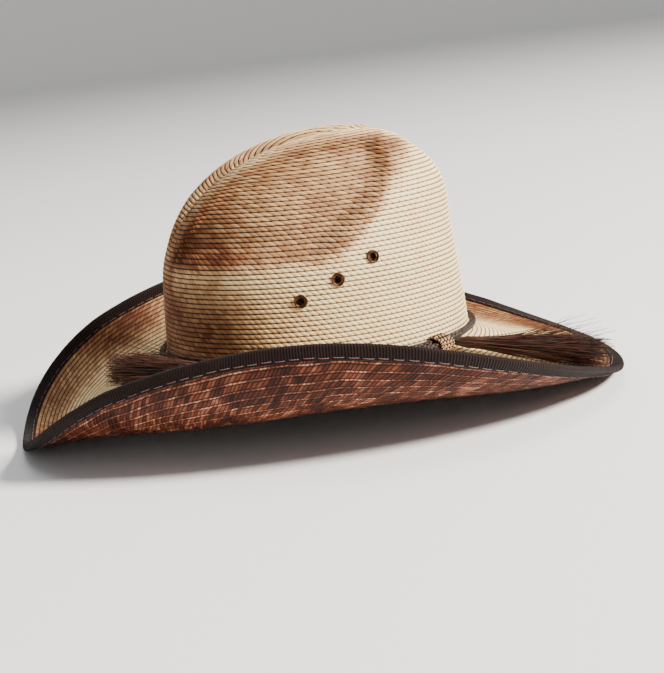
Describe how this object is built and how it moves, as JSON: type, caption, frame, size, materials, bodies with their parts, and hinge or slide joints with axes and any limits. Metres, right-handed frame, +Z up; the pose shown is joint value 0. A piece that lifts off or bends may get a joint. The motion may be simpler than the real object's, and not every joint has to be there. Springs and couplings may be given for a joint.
{
  "type": "cowboy hat",
  "caption": "Palm-leaf cowboy hat with a creased crown, brim curled up at the sides, dark bound edge, side vents and a horsehair band with tassels.",
  "frame": {"origin": "on the surface the hat rests on, under the middle of its length and width", "axes": "-Y towards the front of the hat, +X towards the wearer's left, +Z up, with the hat resting on the front and back of its brim"},
  "size_m": [0.3498, 0.4105, 0.1799],
  "materials": {
    "crown_braid": "matte",
    "brim_top_braid": "matte",
    "brim_under_braid": "matte",
    "wire": "drawn",
    "ribbon": "ribbed",
    "thread": "twisted",
    "sweat_leather": "satin",
    "reed": "matte",
    "bow": "ribbed",
    "eyelet_metal": "antiqued",
    "washer_metal": "satin",
    "horsehair_cord": "braided",
    "slider_braid": "woven",
    "tassel_hair": "combed"
  },
  "bodies": {
    "hat_body": {"crown": "crown_braid", "brim_top": "brim_top_braid", "brim_under": "brim_under_braid", "brim_wire": "wire", "brim_binding": "ribbon", "binding_thread": "thread", "sweatband": "sweat_leather", "sweatband_reed": "reed", "sweatband_bow": "bow", "eyelet_left_1": "eyelet_metal", "eyelet_left_2": "eyelet_metal", "eyelet_left_3": "eyelet_metal", "eyelet_right_1": "eyelet_metal", "eyelet_right_2": "eyelet_metal", "eyelet_right_3": "eyelet_metal", "washer_left_1": "washer_metal", "washer_left_2": "washer_metal", "washer_left_3": "washer_metal", "washer_right_1": "washer_metal", "washer_right_2": "washer_metal", "washer_right_3": "washer_metal"},
    "hat_band": {"band_cord": "horsehair_cord"},
    "slider_back": {"slider_back": "slider_braid"},
    "slider_front": {"slider_front": "slider_braid"},
    "tassel_back": {"tassel_back": "tassel_hair"},
    "tassel_front": {"tassel_front": "tassel_hair"}
  },
  "joints": [
    {"name": "band_lift", "type": "slide", "parent": "hat_body", "child": "hat_band", "axis": [0, 0.0284, 0.9996], "range_m": [0, 0.15]},
    {"name": "slider_back_slide", "type": "hinge", "parent": "hat_band", "child": "slider_back", "pos_m": [-0.03, 0.00141, 0.04005], "axis": [0, 0.0284, 0.9996], "range_deg": [-20, 0]},
    {"name": "slider_front_slide", "type": "hinge", "parent": "hat_band", "child": "slider_front", "pos_m": [-0.03, 0.00141, 0.04005], "axis": [0, 0.0284, 0.9996], "range_deg": [0, 20]},
    {"name": "tassel_back_swing", "type": "hinge", "parent": "hat_band", "child": "tassel_back", "pos_m": [0.06745, 0.07733, 0.04069], "axis": [0.9983, -0.0576, 0.0016], "range_deg": [0, 45]},
    {"name": "tassel_front_swing", "type": "hinge", "parent": "hat_band", "child": "tassel_front", "pos_m": [0.08377, -0.04655, 0.04421], "axis": [-0.988, 0.1543, -0.0044], "range_deg": [0, 45]}
  ]
}
